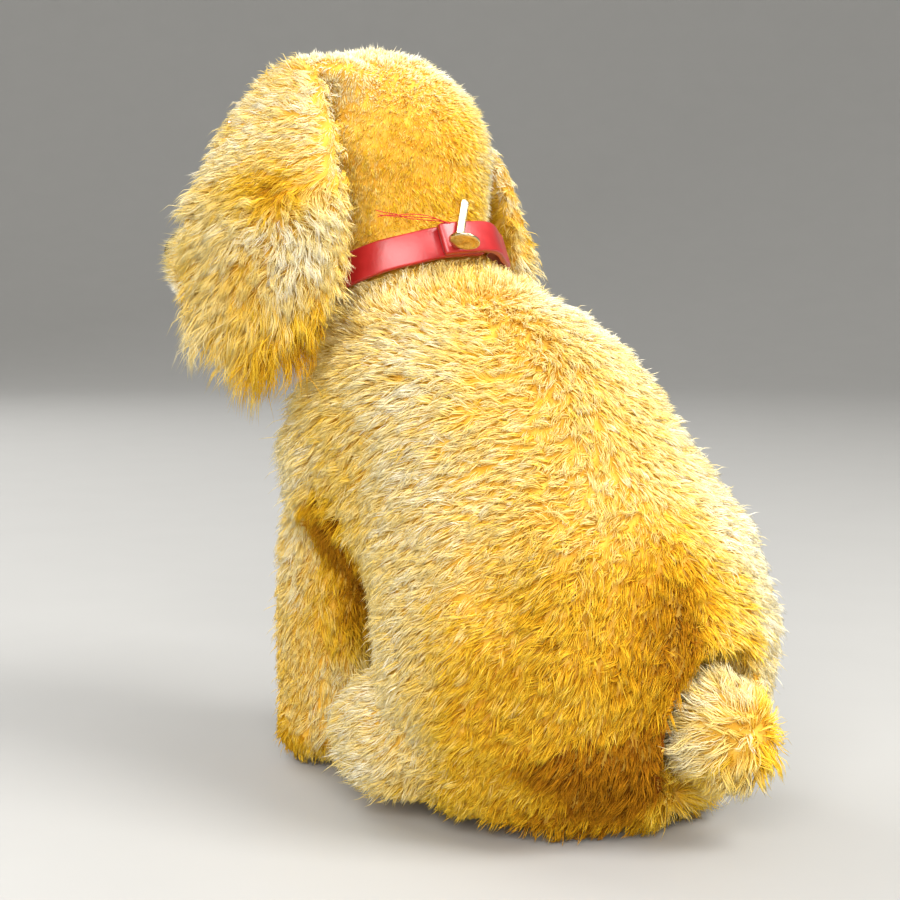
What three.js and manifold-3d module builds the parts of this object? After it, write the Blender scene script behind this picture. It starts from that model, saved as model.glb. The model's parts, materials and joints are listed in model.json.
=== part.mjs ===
// A seated toy puppy in golden mohair: stuffed body and legs, a head that turns on a disc joint,
// hanging ears, a stub tail, and a red strap collar closed by a brass clasp.
// Millimetres, +Z up. The puppy faces -Y and its left side is +X. The exported part's origin is the
// middle of its flat seat; sizes and places below are measured from a point SEAT_BACK in front of it.
import * as THREE from "three";
import { mergeVertices } from "three/addons/utils/BufferGeometryUtils.js";
import Module from "manifold-3d";

const wasm = await Module();
wasm.setup();

// Driving dimensions
const PILE = 3; // mohair cloth with its pile pressed down
const GAP = 0.35; // play between sewn pieces that lie against each other
const SOFT = 9; // how widely two rounded forms run into each other
const BIG = 110; // beyond every surface
const SEAT_BACK = 27;

const NECK = new THREE.Vector3(0, -10, 78); // centre of the neck joint
const NECK_TILT = THREE.MathUtils.degToRad(22); // the joint's axis leans forward
const NECK_AXIS = new THREE.Vector3(0, -Math.sin(NECK_TILT), Math.cos(NECK_TILT));
const HEAD_TURN = THREE.MathUtils.degToRad(14); // the head rests turned to the puppy's left
const NECK_RADIUS = 14.4; // gathered cloth inside the collar
const JOINT_GAP = 0.5; // from the joint's middle plane to each gathered face
const CAP = 2; // gathered cloth over each disc
const DISC = { radius: 11.5, thick: 2.4, hole: 1.7 };
const WASHER = { radius: 5, thick: 0.8, hole: 1.7 };
const PIN = { radius: 1.2, eye: 2, curl: 4 }; // the eye's radius, and how far the curled ends reach

const COLLAR = { inner: 15.5, thick: 1.1, width: 5, lap: THREE.MathUtils.degToRad(28) };
const CLASP = { button: 2.4, buttonThick: 0.6, wide: 1.35, thick: 0.45, pin: 0.4 };
const CLASP_LEG = { low: -2.2, high: 6.2, inside: 1.5 }; // heights of its long and its short leg
const CLASP_ANGLE = THREE.MathUtils.degToRad(76); // round the neck from the left, near the nape
const CLASP_SLANT = 26; // degrees from the neck's axis
const GROOVE = { radius: 20.3, low: -5.3, high: 6.8 }; // kept free for the collar and its clasp

const EAR = { length: 49, halfWidth: 17.5, pile: 3.6, lining: 1.3, root: [18.6, -8, 33] };
const EAR_SHAPE = { neck: 0.62, flare: 0.5, hang: 8, bend: 1.8, cup: 0.006 };
const EYE = { radius: 3.6, at: [10.5, -25.5, 23] };
const SHANK = { radius: 0.7, end: 11, slack: 0.9 }; // its end is measured from the eye's centre
const NOSE = { half: [4.8, 3, 3.6], lean: THREE.MathUtils.degToRad(-20), at: [0, -45.9, 4.2] };
const FLOSS = 0.55; // radius of the mouth's laid threads
const TAIL_PIVOT = new THREE.Vector3(0, 46.5, 16);
const TAIL_FLEX = 12; // degrees either way
const TAIL_MOUTH = 4.2; // radius of the tail cover's opening at its root

// Rounded forms: centre, half sizes, and lean about X in degrees
const TORSO = [
  { at: [0, 28.5, 25], half: [33, 28.5, 32] },
  { at: [0, 13.5, 49.5], half: [27, 26, 26], lean: 22 },
  { at: [0, 2, 61], half: [23, 20, 17] },
  { at: [0, -10, 49], half: [23, 18, 23] },
  { at: [13, 23, 22], half: [15, 16, 24] },
  { at: [-13, 23, 22], half: [15, 16, 24] },
];
const HEAD = [
  { at: [0, -8.5, 18.5], half: [19.5, 21, 19.5] },
  { at: [0, -33, 0.5], half: [12, 15, 12] },
];
const FORELEG = [
  { at: [10.5, -17.5, 27], half: [9.2, 10, 26] },
  { at: [10.5, -18.5, 7.5], half: [8.4, 10, 8.5] },
];
const HIND_FOOT = [{ at: [19.5, 11.5, 11.3], half: [11.5, 14, 11.8] }];
const TAIL = [{ at: [0, 54, 16], half: [8.5, 9.5, 9] }];

// Where each panel's seams run
const BELLY = { half: 11, lean: THREE.MathUtils.degToRad(42), at: [0, 6, 32] };
const CROWN = { half: 7, low: 12.5 };
const CHIN = { back: -31, high: 1.2 };

// Materials
const finish = (color, roughness, metalness = 0) =>
  new THREE.MeshStandardMaterial({ color, roughness, metalness });
const material = {
  mohair: finish("#e0a94a", 0.95),
  paleMohair: finish("#f0e2c4", 0.95),
  felt: finish("#d8a75c", 0.95),
  woodWool: finish("#d9c38f", 1),
  floss: finish("#2c1c14", 0.7),
  glass: finish("#5a2c12", 0.08),
  wire: finish("#8d8f92", 0.4, 1),
  board: finish("#8a6a45", 0.9),
  strap: finish("#c21a2c", 0.4),
  brass: finish("#d9bd6c", 0.3, 1),
};

// A closed geometry as a solid, and a solid as a geometry
function solid(geometry) {
  const bare = new THREE.BufferGeometry();
  bare.setAttribute("position", geometry.attributes.position.clone());
  if (geometry.index) bare.setIndex(geometry.index.clone());
  const merged = mergeVertices(bare, 1e-4);
  const vertProperties = merged.attributes.position.array;
  const triVerts = new Uint32Array(merged.index.array);
  return new wasm.Manifold(new wasm.Mesh({ numProp: 3, vertProperties, triVerts }));
}

function geometryOf(body) {
  const made = body.getMesh();
  const geometry = new THREE.BufferGeometry();
  geometry.setAttribute("position", new THREE.BufferAttribute(made.vertProperties, 3));
  geometry.setIndex(new THREE.BufferAttribute(made.triVerts, 1));
  return geometry;
}

const move = (body, matrix) => solid(geometryOf(body).applyMatrix4(matrix));

// The same solid on the puppy's other side
function mirror(body) {
  const geometry = geometryOf(body).scale(-1, 1, 1);
  const corners = geometry.index.array;
  for (let i = 0; i < corners.length; i += 3) {
    [corners[i], corners[i + 1]] = [corners[i + 1], corners[i]];
  }
  return solid(geometry);
}

function addPart(group, name, body, look) {
  const mesh = new THREE.Mesh(geometryOf(body), look.clone());
  mesh.name = name;
  group.add(mesh);
}

// The two halves of a skin, parted by the seam along its middle
function addHalves(group, name, skin, look) {
  const left = box([GAP / 2, -BIG, -BIG], [BIG, BIG, BIG]);
  addPart(group, `left_${name}`, skin.intersect(left), look);
  addPart(group, `right_${name}`, skin.intersect(left.mirror([1, 0, 0])), look);
}

function addPair(group, name, leftBody, look) {
  addPart(group, `left_${name}`, leftBody, look);
  addPart(group, `right_${name}`, mirror(leftBody), look);
}

// Roughly how far a point lies outside one rounded form; negative inside
function outside(point, { at, half, lean = 0 }) {
  const turn = -THREE.MathUtils.degToRad(lean);
  const size = new THREE.Vector3(...half);
  const q = point.clone().sub(new THREE.Vector3(...at));
  q.applyAxisAngle(new THREE.Vector3(1, 0, 0), turn).divide(size);
  const share = q.length();
  const slope = q.divide(size).length();
  return slope < 1e-9 ? -Math.min(...half) : (share * (share - 1)) / slope;
}

// The same for several forms run softly into each other
function outsideAll(point, forms) {
  const blend = (a, b) => Math.min(a, b) - Math.max(SOFT - Math.abs(a - b), 0) ** 2 / (4 * SOFT);
  return forms.map((form) => outside(point, form)).reduce(blend);
}

// The blended forms less an inset, as a closed skin pushed out from their middle. Its poles are
// at front and back, or at top and bottom if it is upright.
function softSolid(forms, { middle, stretch, around, down, upright = true }, inset) {
  const geometry = new THREE.SphereGeometry(1, around, down).rotateX(upright ? Math.PI / 2 : 0);
  const position = geometry.attributes.position;
  const way = new THREE.Vector3();
  const reach = (length) => way.clone().multiplyScalar(length).add(middle);
  for (let i = 0; i < position.count; i++) {
    way.fromBufferAttribute(position, i).multiply(stretch).normalize();
    let near = 0;
    let far = BIG;
    while (far - near > 1e-5) {
      const length = (near + far) / 2;
      if (outsideAll(reach(length), forms) + inset < 0) near = length;
      else far = length;
    }
    position.setXYZ(i, ...reach(near));
  }
  return solid(geometry);
}

// Plain solids used as pieces and as cutters
function box(low, high) {
  const size = high.map((value, k) => value - low[k]);
  const middle = high.map((value, k) => (value + low[k]) / 2);
  return solid(new THREE.BoxGeometry(...size).translate(...middle));
}

const ball = (centre, radius) =>
  solid(new THREE.SphereGeometry(radius, 12, 8).translate(...centre));

function disc(radius, low, high, around = 16) {
  const geometry = new THREE.CylinderGeometry(radius, radius, high - low, around);
  return solid(geometry.rotateX(Math.PI / 2).translate(0, 0, (low + high) / 2));
}

function ring(inner, outer, low, high) {
  const corners = [[inner, low], [outer, low], [outer, high], [inner, high], [inner, low]];
  const profile = corners.map(([radius, height]) => new THREE.Vector2(radius, height));
  return solid(new THREE.LatheGeometry(profile, 16).rotateX(Math.PI / 2));
}

function wire(points, radius, steps) {
  const extrudePath = new THREE.CatmullRomCurve3(points.map((p) => new THREE.Vector3(...p)));
  const section = new THREE.Shape().absarc(0, 0, radius, 0, Math.PI * 2);
  return solid(new THREE.ExtrudeGeometry(section, { steps, extrudePath, curveSegments: 3 }));
}

// The neck joint's own frame: +Z along its axis, origin at its centre
const lean = new THREE.Matrix4().makeRotationX(NECK_TILT);
const inHead = (body) => move(body, lean);
const atNeck = (body) => move(body, lean.clone().setPosition(NECK));
const below = (height) => box([-BIG, -BIG, -BIG], [BIG, BIG, height]);

const puppy = new THREE.Group();
puppy.position.y = -SEAT_BACK;
const head = new THREE.Group();
head.position.copy(NECK);
head.quaternion.setFromAxisAngle(NECK_AXIS, HEAD_TURN);
puppy.add(head);

// The tail, and the room it needs in the rump as it flexes about its root
const tailMesh = { middle: new THREE.Vector3(...TAIL[0].at), around: 10, down: 8 };
const tail = (inset) =>
  softSolid(TAIL, { ...tailMesh, stretch: new THREE.Vector3(1, 1, 1) }, inset);

function tailRoom(slack) {
  const shape = tail(-slack);
  const turned = (share) => {
    const there = new THREE.Matrix4().makeTranslation(TAIL_PIVOT);
    const back = there.clone().invert();
    const angle = THREE.MathUtils.degToRad(TAIL_FLEX * share);
    return move(shape, there.multiply(new THREE.Matrix4().makeRotationX(angle)).multiply(back));
  };
  return [-1, 0, 1].map(turned).reduce((a, b) => a.add(b));
}

function addTail() {
  const [x, y, z] = TAIL[0].at;
  const mouth = ball([x, y - TAIL[0].half[1], z], TAIL_MOUTH);
  addPart(puppy, "tail_cover", tail(0).subtract(tail(PILE)).subtract(mouth), material.mohair);
  addPart(puppy, "tail_stuffing", tail(PILE + GAP).subtract(mouth), material.woodWool);
}

// The body's form under an inset: less skin on its round sides and less cloth at the neck
const bodyMesh = {
  middle: new THREE.Vector3(0, 6, 42),
  stretch: new THREE.Vector3(1, 1, 1.1),
  around: 18,
  down: 12,
};
const bodyRound = (inset) => softSolid(TORSO, bodyMesh, inset);

function bodyForm(inset, cap) {
  const radius = NECK_RADIUS - cap;
  return bodyRound(inset)
    .subtract(below(inset))
    .subtract(atNeck(ring(radius, BIG, GROOVE.low - cap, BIG)))
    .add(atNeck(disc(radius, GROOVE.low - 3 * PILE, 0)))
    .subtract(atNeck(disc(BIG, -JOINT_GAP - cap, BIG)));
}

const pinHole = disc(DISC.hole, -BIG / 3, BIG / 3, 12);

function addBody() {
  const skin = bodyForm(0, 0)
    .subtract(bodyForm(PILE, CAP))
    .subtract(atNeck(pinHole))
    .subtract(tailRoom(GAP));
  const frontAndUnder = (slack) => {
    const cutter = box([-BELLY.half - slack, -BIG, -BIG], [BELLY.half + slack, slack, BIG]);
    const place = new THREE.Matrix4().makeRotationX(BELLY.lean).setPosition(...BELLY.at);
    return move(cutter, place);
  };
  addHalves(puppy, "body_panel", skin.subtract(frontAndUnder(GAP)), material.mohair);
  addPart(puppy, "belly_gusset", skin.intersect(frontAndUnder(0)), material.mohair);

  const jointRoom = disc(DISC.radius + GAP, NECK_STACK.pinEnd - PIN.curl - GAP, 0);
  const stuffing = bodyForm(PILE + GAP, CAP + GAP)
    .subtract(atNeck(jointRoom))
    .subtract(tailRoom(2 * GAP));
  addPart(puppy, "body_stuffing", stuffing, material.woodWool);
}

// Legs: each a sewn cover over its own filling, closed against the body
function addLimbs(name, shapes, stretch) {
  const bodyNear = bodyRound(-GAP);
  for (const [side, way] of [["left", 1], ["right", -1]]) {
    const forms = shapes.map(({ at: [x, y, z], half }) => ({ at: [way * x, y, z], half }));
    const middle = new THREE.Vector3(...forms[0].at);
    const mesh = { middle, stretch: new THREE.Vector3(...stretch), around: 10, down: 8 };
    const form = (inset) => softSolid(forms, mesh, inset).subtract(below(inset));
    const cover = form(0).subtract(form(PILE)).subtract(bodyNear);
    const stuffing = form(PILE + GAP).subtract(bodyNear);
    addPart(puppy, `${side}_${name}_cover`, cover, material.mohair);
    addPart(puppy, `${side}_${name}_stuffing`, stuffing, material.woodWool);
  }
}

// The neck joint: a board disc and a steel washer each side, held by one cotter pin
const NECK_STACK = {
  disc: JOINT_GAP + CAP + GAP,
  washer: JOINT_GAP + CAP + 2 * GAP + DISC.thick,
  pinEnd: -(JOINT_GAP + CAP + 3 * GAP + DISC.thick + WASHER.thick),
};

function addNeckJoint() {
  const plate = ({ radius, thick, hole }, inner) => ring(hole, radius, inner, inner + thick);
  const flip = (body) => body.mirror([0, 0, 1]);
  const discPlate = plate(DISC, NECK_STACK.disc);
  const washerPlate = plate(WASHER, NECK_STACK.washer);
  addPart(puppy, "body_disc", atNeck(flip(discPlate)), material.board);
  addPart(puppy, "body_washer", atNeck(flip(washerPlate)), material.wire);
  addPart(head, "head_disc", inHead(discPlate), material.board);
  addPart(head, "head_washer", inHead(washerPlate), material.wire);

  const { pinEnd } = NECK_STACK;
  const curl = (side) => {
    const bend = [[0.5, 1.2], [0.7, -1.8], [2.4, -3.2], [4, -2.2]];
    return wire(bend.map(([x, z]) => [side * x, 0, pinEnd + z]), PIN.radius / 2, 8);
  };
  const eyeTube = new THREE.TorusGeometry(PIN.eye, PIN.radius / 2, 6, 12).rotateX(Math.PI / 2);
  const eye = solid(eyeTube.translate(0, 0, -pinEnd + PIN.eye + PIN.radius / 2));
  const pin = disc(PIN.radius, pinEnd, -pinEnd + 1, 12).add(eye).add(curl(1)).add(curl(-1));
  addPart(head, "cotter_pin", inHead(pin), material.wire);
}

// The head's form under an inset, with its own side of the neck
const headMesh = {
  middle: new THREE.Vector3(0, -16, 12),
  stretch: new THREE.Vector3(1, 1.4, 1),
  around: 16,
  down: 14,
  upright: false,
};

function headForm(inset, cap) {
  const radius = NECK_RADIUS - cap;
  return softSolid(HEAD, headMesh, inset)
    .subtract(inHead(ring(radius, GROOVE.radius + cap, -BIG, GROOVE.high + cap)))
    .add(inHead(disc(radius, 0, GROOVE.high + 2 * PILE)))
    .subtract(inHead(disc(BIG, -BIG, JOINT_GAP + cap)));
}

function nose(slack) {
  const geometry = new THREE.SphereGeometry(1, 12, 8)
    .scale(...NOSE.half.map((half) => half + slack))
    .rotateX(NOSE.lean)
    .translate(...NOSE.at);
  return solid(geometry);
}

function mouth(slack) {
  const radius = FLOSS + slack;
  const lip = [[5.4, -42.4, -7.4], [2.8, -45.2, -7], [0, -46, -5.4]];
  const across = [...lip, ...lip.slice(0, 2).reverse().map(([x, y, z]) => [-x, y, z])];
  return wire([[0, -47.8, 1.2], [0, -47.4, -2.4], lip[2]], radius, 6).add(wire(across, radius, 12));
}

// Points behind the left eye, along its wire shank
const behindEye = (distance) =>
  new THREE.Vector3(-0.25, 0.95, -0.18).normalize().multiplyScalar(distance)
    .add(new THREE.Vector3(...EYE.at)).toArray();

function addHead() {
  const eye = ball(EYE.at, EYE.radius);
  const shank = wire([EYE.radius + GAP, SHANK.end].map(behindEye), SHANK.radius, 4);
  const shankRoom = wire([0, SHANK.end + 1].map(behindEye), SHANK.radius + SHANK.slack, 4);
  const eyeRoom = ball(EYE.at, EYE.radius + GAP).add(shankRoom);
  const faceRoom = eyeRoom.add(mirror(eyeRoom)).add(nose(GAP)).add(mouth(GAP));
  const strip = (slack, low, back) =>
    box([-CROWN.half - slack, -BIG, low - slack], [CROWN.half + slack, back + slack, BIG]);
  const crown = (slack) =>
    strip(slack, CROWN.low, BIG).add(strip(slack, CHIN.high, CHIN.back));
  const chin = (slack) => box([-BIG, -BIG, -BIG], [BIG, CHIN.back + slack, CHIN.high + slack]);

  const skin = headForm(0, 0)
    .subtract(headForm(PILE, CAP))
    .subtract(inHead(pinHole))
    .subtract(faceRoom);
  const sides = skin.subtract(crown(GAP)).subtract(chin(GAP));
  addHalves(head, "head_panel", sides, material.mohair);
  addPart(head, "head_gusset", skin.intersect(crown(0)).subtract(chin(GAP)), material.mohair);
  addPart(head, "chin_panel", skin.intersect(chin(0)), material.paleMohair);

  const pinTop = -NECK_STACK.pinEnd + 2 * PIN.eye + PIN.radius;
  const jointRoom = disc(DISC.radius + GAP, 0, pinTop + GAP);
  const stuffing = headForm(PILE + GAP, CAP + GAP).subtract(inHead(jointRoom)).subtract(faceRoom);
  addPart(head, "head_stuffing", stuffing, material.woodWool);
  addPart(head, "nose_stitching", nose(0), material.floss);
  addPart(head, "mouth_stitching", mouth(0).subtract(nose(GAP)), material.floss);
  addPair(head, "eye", eye, material.glass);
  addPair(head, "eye_shank", shank, material.wire);
}

// One layer of an ear, lying between two distances from the surface that pile and lining share.
// The ear widens as it drops, swings out as it bends over the head, and cups in at its edges.
function earLayer(near, far) {
  const { neck, flare, hang, bend, cup } = EAR_SHAPE;
  const geometry = new THREE.SphereGeometry(1, 12, 8).rotateZ(Math.PI / 2);
  const position = geometry.attributes.position;
  for (let i = 0; i < position.count; i++) {
    const through = position.getX(i);
    const drop = (1 - position.getZ(i)) / 2;
    const y = position.getY(i) * EAR.halfWidth * (neck + flare * drop);
    const swing = hang * Math.sin((Math.min(bend * drop, 1) * Math.PI) / 2);
    const layer = (near + far + (far - near) * through) / 2;
    position.setXYZ(i, swing - cup * y * y + layer, y, -EAR.length * drop);
  }
  return solid(geometry.translate(...EAR.root));
}

function addEars() {
  addPair(head, "ear_pile", earLayer(GAP / 2, EAR.pile), material.mohair);
  addPair(head, "ear_lining", earLayer(-EAR.lining, -GAP / 2), material.felt);
}

// The collar's strap, lapped over itself under the clasp
function strap() {
  const { inner, thick, width, lap } = COLLAR;
  const steps = 40;
  const whole = Math.PI * 2 + lap;
  const start = CLASP_ANGLE + 0.7 * lap;
  const rise = thick + GAP;
  const edge = (distance) =>
    Array.from({ length: steps + 1 }, (_, k) => {
      const along = (whole * k) / steps;
      const lift = rise * THREE.MathUtils.smoothstep(along, whole - 2 * lap, whole - lap);
      const radius = inner + distance + lift;
      const angle = start - along;
      return new THREE.Vector2(radius * Math.cos(angle), radius * Math.sin(angle));
    });
  const outline = new THREE.Shape([...edge(thick), ...edge(0).reverse()]);
  const geometry = new THREE.ExtrudeGeometry(outline, { depth: width, bevelEnabled: false });
  return solid(geometry.translate(0, 0, -width / 2));
}

// The clasp's pin, which crosses both laps of the strap
const CLASP_OUTER = COLLAR.inner + 2 * COLLAR.thick + 2 * GAP;
const CLASP_INNER = COLLAR.inner - GAP - CLASP.thick;

function claspPin(radius) {
  const length = CLASP_OUTER - CLASP_INNER;
  const geometry = new THREE.CylinderGeometry(radius, radius, length, 8).rotateZ(Math.PI / 2);
  return solid(geometry.translate(CLASP_INNER + length / 2 + CLASP.thick / 2, 0, 0));
}

const roundToClasp = (body) => body.rotate([0, 0, THREE.MathUtils.radToDeg(CLASP_ANGLE)]);

// The clasp: a flat leg outside the strap with a button at its foot, and a short leg inside
function clasp() {
  const { button, buttonThick, wide, thick, pin } = CLASP;
  const { low, high, inside } = CLASP_LEG;
  const leg = (face, from, to) =>
    box([face, -wide / 2, from], [face + thick, wide / 2, to]);
  const plate = disc(button, low, low + buttonThick, 16).translate([CLASP_OUTER + button, 0, 0]);
  const whole = plate
    .add(leg(CLASP_OUTER, low, high))
    .add(leg(CLASP_INNER, -inside, inside))
    .add(claspPin(pin))
    .rotate([-CLASP_SLANT, 0, 0]);
  return roundToClasp(whole);
}

addBody();
addLimbs("foreleg", FORELEG, [1, 1, 2.4]);
addLimbs("hind_foot", HIND_FOOT, [1, 1.4, 1]);
addTail();
addNeckJoint();
addHead();
addEars();
const pinnedStrap = strap().subtract(roundToClasp(claspPin(CLASP.pin + GAP)));
addPart(puppy, "collar_strap", atNeck(pinnedStrap), material.strap);
addPart(puppy, "collar_clasp", atNeck(clasp()), material.brass);

export default puppy;
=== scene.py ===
"""Looks for the seated mohair puppy: coat, face, collar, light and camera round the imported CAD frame."""

import json
import math

import bmesh
import bpy
import numpy as np
from mathutils import Matrix, Vector, kdtree


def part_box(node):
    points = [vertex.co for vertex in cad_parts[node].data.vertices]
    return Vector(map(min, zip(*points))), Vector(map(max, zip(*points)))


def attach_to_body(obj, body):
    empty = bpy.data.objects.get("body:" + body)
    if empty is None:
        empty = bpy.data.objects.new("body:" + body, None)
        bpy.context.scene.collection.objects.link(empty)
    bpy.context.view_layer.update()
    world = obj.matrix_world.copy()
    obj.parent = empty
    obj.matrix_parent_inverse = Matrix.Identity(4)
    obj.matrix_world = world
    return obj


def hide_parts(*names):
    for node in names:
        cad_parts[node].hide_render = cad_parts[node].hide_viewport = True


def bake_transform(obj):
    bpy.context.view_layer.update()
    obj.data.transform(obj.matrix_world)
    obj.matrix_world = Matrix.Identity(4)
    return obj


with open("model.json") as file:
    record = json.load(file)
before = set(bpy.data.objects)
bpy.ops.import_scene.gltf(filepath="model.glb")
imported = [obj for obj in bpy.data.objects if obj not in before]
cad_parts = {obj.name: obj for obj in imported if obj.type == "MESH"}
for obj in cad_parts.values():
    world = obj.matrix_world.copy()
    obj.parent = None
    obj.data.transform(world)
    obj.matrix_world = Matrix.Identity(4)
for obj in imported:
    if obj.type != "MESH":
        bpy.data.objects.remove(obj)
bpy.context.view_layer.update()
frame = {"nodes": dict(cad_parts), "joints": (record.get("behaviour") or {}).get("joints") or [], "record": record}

# ---------------------------------------------------------------- frame facts, in millimetres

MM = 0.001
JOINT = {j["name"]: j for j in frame["joints"]}
NECK = np.array(JOINT["head_turn"]["pos_m"]) / MM
NECK_AXIS = np.array(JOINT["head_turn"]["axis"])
NECK_SIDE = np.array([1.0, 0.0, 0.0])
NECK_REAR = np.cross(NECK_AXIS, NECK_SIDE)
UP = np.array([0.0, 0.0, 1.0])
# the head's own directions: its left, its back and its up as it rests turned
HEAD_BACK = np.array(JOINT["right_ear_lift"]["axis"])
HEAD_LEFT = np.cross(HEAD_BACK, NECK_AXIS)
HEAD_LEFT /= np.linalg.norm(HEAD_LEFT)
HEAD_UP = np.cross(HEAD_LEFT, HEAD_BACK)

# ---------------------------------------------------------------- sizes and places, in millimetres

# head places are (left, back, up) from the neck's centre, and a pair is given by its left one
NOSE_AT = np.array([0.0, -45.9, 4.2])
NOSE_HALF = np.array([4.8, 3.0, 3.6])
NOSE_LEAN = math.radians(-20)
NOSE_FOOT = (0, -47.8, 1.2)
PHILTRUM = (0, -47.4, -2.4)
MOUTH_LIP = [(5.4, -42.4, -7.4), (2.8, -45.2, -7.0), (0, -46.0, -5.4)]
THREAD_PROUD = 1.7
EYE_AT = np.array([10.5, -25.5, 23.0])
EYE_RADIUS = 3.6
EYE_SOCKET = np.array([-0.8, 2.6, -0.4])
EYE_SOCKET_HALF = np.array([6.0, 5.4, 5.8])
EAR_MIDDLE = np.array([0.0, -5.0, 3.5])
EAR_ROOT = np.array([13.6, -8.0, 30.4])
EAR_ROOT_HALF = np.array([7.2, 9.0, 3.9])

TAIL_ROOT = np.array(JOINT["tail_flex"]["pos_m"]) / MM
# painted shade is centred here, low on the rump by the tail
RUMP_SHADE_AT = np.array([14.0, 22.0, 10.0])  # the darkest of the rump, by the tail

STRAP = {"inner": 15.5, "thick": 1.1, "width": 5.0, "lap": math.radians(28), "rise": 1.45}
STRAP_HALF = STRAP["width"] / 2
STRAP_OUTER = 18.2  # the outer face where the strap laps
CLASP_ANGLE = math.radians(76)
CLASP_SLANT = math.radians(26)
CLASP_FACE = 18.4
BUTTON_FOOT = -2.2
PIN_TOP = 6.2

STRAND_UV = "OFBake"  # the UV layer of the strands
TONE_STOPS = (0.0, 0.22, 0.45, 0.8, 1.0)
LARGEST_PIECE = 185_000  # triangles in one piece of a coat
SHORTEST_HAIR = 0.4
ABOVE_FLOOR = 0.2
ROOT_DEPTH = 0.4
STRAP_GAP = 0.3
NECK_CORE = 9

FLOOR_TONE = (0.42, 0.415, 0.40)
WARM_WHITE = (1.0, 0.99, 0.97)
LIGHT_ORIGIN = Vector((0, 0, 0.05))
LIGHT_TARGET = Vector((0, 0, 0.055))
CAMERA_TARGET = Vector((0, -0.027, 0.0513))
CAMERA_AWAY = 0.290  # metres
PIXELS_PER_MM = 6.35
FRAME_PIXELS = 900
SENSOR = 36


def node_box(name):
    low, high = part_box(name)
    return np.array(low) / MM, np.array(high) / MM


def in_head(points):
    """World points as (left, back, up) from the neck's centre in the head's own directions."""
    return (points - NECK) @ np.stack([HEAD_LEFT, HEAD_BACK, HEAD_UP], axis=1)


def from_head(points):
    return np.asarray(points, float) @ np.stack([HEAD_LEFT, HEAD_BACK, HEAD_UP]) + NECK


def from_neck(points):
    """(side, rear, along) about the neck joint's axis as world points."""
    return np.asarray(points, float) @ np.stack([NECK_SIDE, NECK_REAR, NECK_AXIS]) + NECK


def neck_place(points):
    """Distance from the neck's axis, height along it, and the unit direction away from it."""
    offset = points - NECK
    height = offset @ NECK_AXIS
    away = offset - height[..., None] * NECK_AXIS
    radius = np.linalg.norm(away, axis=-1)
    return radius, height, away / np.maximum(radius, 1e-6)[..., None]


def unit(v):
    return v / np.maximum(np.linalg.norm(v, axis=-1, keepdims=True), 1e-9)


def turns(count):
    """Angles evenly round a circle."""
    return np.arange(count) * 2 * np.pi / count


def bell(x, half):
    """1 at 0, falling away smoothly to either side."""
    return np.exp(-((x / half) ** 2))


def toward(azimuth, elevation):
    """The direction to a place seen at these degrees: azimuth 0 is the puppy's front, 90 its left."""
    az, el = math.radians(azimuth), math.radians(elevation)
    return Vector((math.sin(az) * math.cos(el), -math.cos(az) * math.cos(el), math.sin(el)))


def smooth_step(x, low, high):
    t = np.clip((x - low) / (high - low), 0, 1)
    return t * t * (3 - 2 * t)


def patches(place, size, seed):
    """A smooth random field over space, about -1 to 1, whose patches are about size across."""
    rng = np.random.default_rng(seed)
    total = np.zeros(len(place))
    for _ in range(5):
        way = unit(rng.normal(size=3)) * (np.pi / size) * rng.uniform(0.7, 1.4)
        total += np.sin(place @ way + rng.uniform(0, 2 * np.pi))
    return total / 2.5


# ---------------------------------------------------------------- materials


def new_material(name, roughness=0.5, metallic=0.0, specular=0.5):
    mat = bpy.data.materials.new(name)
    mat.use_nodes = True
    bsdf = mat.node_tree.nodes["Principled BSDF"]
    bsdf.inputs["Roughness"].default_value = roughness
    bsdf.inputs["Metallic"].default_value = metallic
    bsdf.inputs["Specular IOR Level"].default_value = specular
    return mat, mat.node_tree, bsdf


def ramp(tree, stops):
    node = tree.nodes.new("ShaderNodeValToRGB")
    elements = node.color_ramp.elements
    while len(elements) < len(stops):
        elements.new(0.5)
    for element, (place, colour) in zip(elements, stops):
        element.position = place
        element.color = (*colour, 1)
    return node


def noise(tree, scale, detail=3.0, roughness=0.55, vector=None):
    node = tree.nodes.new("ShaderNodeTexNoise")
    node.inputs["Scale"].default_value = scale
    node.inputs["Detail"].default_value = detail
    node.inputs["Roughness"].default_value = roughness
    if vector is not None:
        tree.links.new(vector, node.inputs["Vector"])
    return node


def object_place(tree):
    return tree.nodes.new("ShaderNodeTexCoord").outputs["Object"]


def bump(tree, bsdf, height, strength, distance):
    node = tree.nodes.new("ShaderNodeBump")
    node.inputs["Strength"].default_value = strength
    node.inputs["Distance"].default_value = distance
    tree.links.new(height, node.inputs["Height"])
    tree.links.new(node.outputs["Normal"], bsdf.inputs["Normal"])


def coloured_by(tree, bsdf, cloud, places, colours):
    """Lets a noise choose the surface's colour, each colour coming in at its place from 0 to 1."""
    node = ramp(tree, list(zip(places, colours)))
    tree.links.new(cloud.outputs["Fac"], node.inputs["Fac"])
    tree.links.new(node.outputs["Color"], bsdf.inputs["Base Color"])


def mix_colour(tree, factor, a, b):
    node = tree.nodes.new("ShaderNodeMix")
    node.data_type = "RGBA"
    for socket, value in ((node.inputs[0], factor), (node.inputs[6], a), (node.inputs[7], b)):
        if hasattr(value, "is_linked"):
            tree.links.new(value, socket)
        else:
            socket.default_value = value
    return node.outputs[2]


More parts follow.
